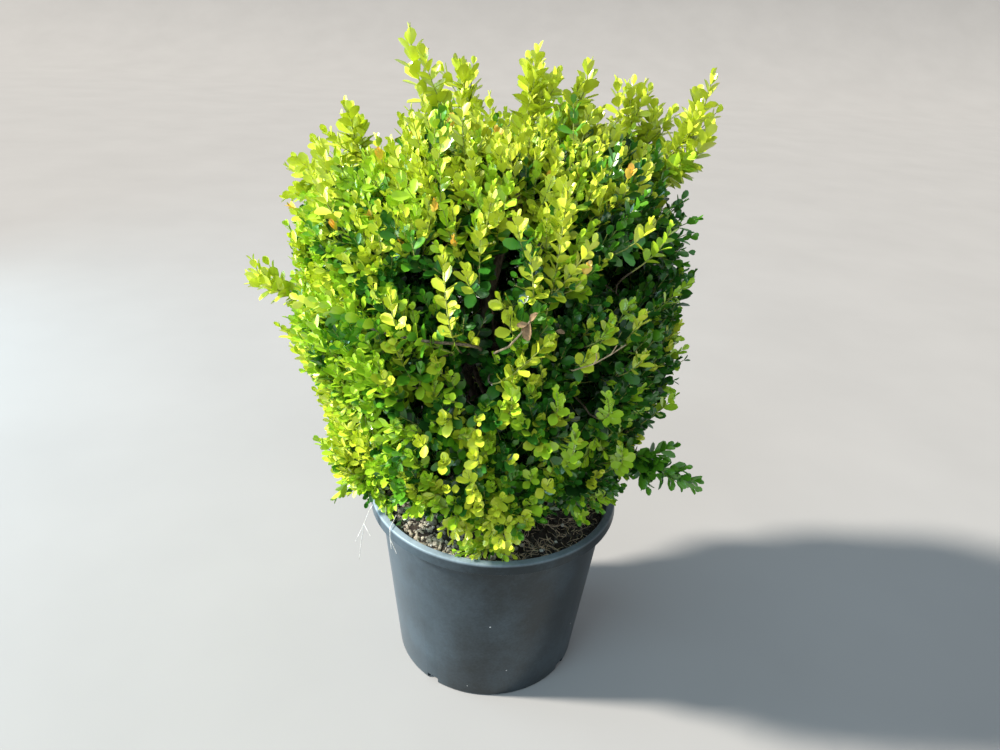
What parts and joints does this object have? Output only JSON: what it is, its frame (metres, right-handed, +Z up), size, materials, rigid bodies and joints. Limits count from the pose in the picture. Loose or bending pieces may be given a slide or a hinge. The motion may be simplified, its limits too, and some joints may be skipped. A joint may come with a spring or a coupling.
{
  "type": "potted boxwood shrub",
  "caption": "Evergreen boxwood shrub, unclipped and loosely vase shaped, growing in bark potting mix in a round black plastic nursery pot.",
  "frame": {"origin": "centre of the pot's flat underside", "axes": "+Z straight up along the pot's axis; -Y is the front, the side with the low tuft over the rim; +X is to the right seen from the front"},
  "size_m": [0.6882, 0.5729, 0.996],
  "materials": {
    "pot": "black injection moulded plastic, soft sheen",
    "soil": "dark bark potting mix with pale chips and dry twigs",
    "bark": "grey brown fissured bark",
    "foliage": "small glossy leaves, deep green inside to yellow green at the tips"
  },
  "bodies": {
    "root": {"pot": "pot", "soil": "soil", "trunk": "bark", "bough_upper_1": "bark", "bough_upper_2": "bark", "bough_upper_3": "bark", "bough_upper_4": "bark", "bough_upper_5": "bark", "bough_middle_1": "bark", "bough_middle_2": "bark", "bough_middle_3": "bark", "bough_middle_4": "bark", "bough_middle_5": "bark", "bough_middle_6": "bark", "bough_lower_1": "bark", "bough_lower_2": "bark", "bough_lower_3": "bark", "bough_lower_4": "bark", "bough_lower_5": "bark", "bough_lower_6": "bark", "bough_top": "bark", "bough_front_tuft": "bark", "foliage_upper_1": "foliage", "foliage_upper_2": "foliage", "foliage_upper_3": "foliage", "foliage_upper_4": "foliage", "foliage_upper_5": "foliage", "foliage_middle_1": "foliage", "foliage_middle_2": "foliage", "foliage_middle_3": "foliage", "foliage_middle_4": "foliage", "foliage_middle_5": "foliage", "foliage_middle_6": "foliage", "foliage_lower_1": "foliage", "foliage_lower_2": "foliage", "foliage_lower_3": "foliage", "foliage_lower_4": "foliage", "foliage_lower_5": "foliage", "foliage_lower_6": "foliage", "foliage_top": "foliage", "foliage_front_tuft": "foliage"}
  },
  "joints": []
}
